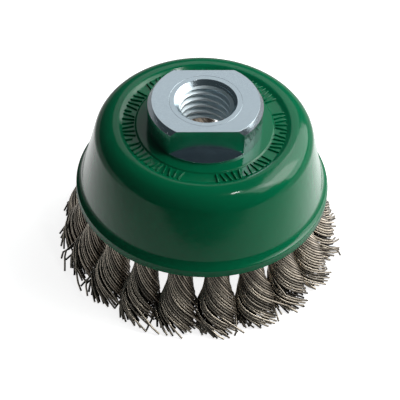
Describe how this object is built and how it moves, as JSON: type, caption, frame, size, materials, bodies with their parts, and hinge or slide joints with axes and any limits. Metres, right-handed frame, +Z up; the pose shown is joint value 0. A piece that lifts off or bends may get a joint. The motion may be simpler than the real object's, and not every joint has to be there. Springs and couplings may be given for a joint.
{
  "type": "knotted wire cup brush",
  "caption": "Round steel cup with a threaded spindle nut and a ring of twisted wire knots, for an angle grinder to strip rust, scale and paint.",
  "frame": {"origin": "on the spindle axis, in the plane of the wire tips that the brush stands on", "axes": "+Z runs up the spindle axis from the wire tips to the nut; the two spanner flats of the nut face +Y and -Y; +X is along the flats"},
  "size_m": [0.0694, 0.0695, 0.0468],
  "materials": {
    "green_paint": "glossy dark green enamel",
    "zinc_plate": "satin zinc plating with turning marks",
    "plate_steel": "plain pressed steel, semi-dull",
    "spring_wire": "bare drawn spring steel wire, slightly warm grey"
  },
  "bodies": {
    "root": {"cup": "green_paint", "arbor_nut": "zinc_plate", "knot_plate": "plate_steel", "knot_01": "spring_wire", "knot_02": "spring_wire", "knot_03": "spring_wire", "knot_04": "spring_wire", "knot_05": "spring_wire", "knot_06": "spring_wire", "knot_07": "spring_wire", "knot_08": "spring_wire", "knot_09": "spring_wire", "knot_10": "spring_wire", "knot_11": "spring_wire", "knot_12": "spring_wire", "knot_13": "spring_wire", "knot_14": "spring_wire", "knot_15": "spring_wire", "knot_16": "spring_wire", "knot_17": "spring_wire", "knot_18": "spring_wire", "knot_19": "spring_wire"}
  },
  "joints": []
}
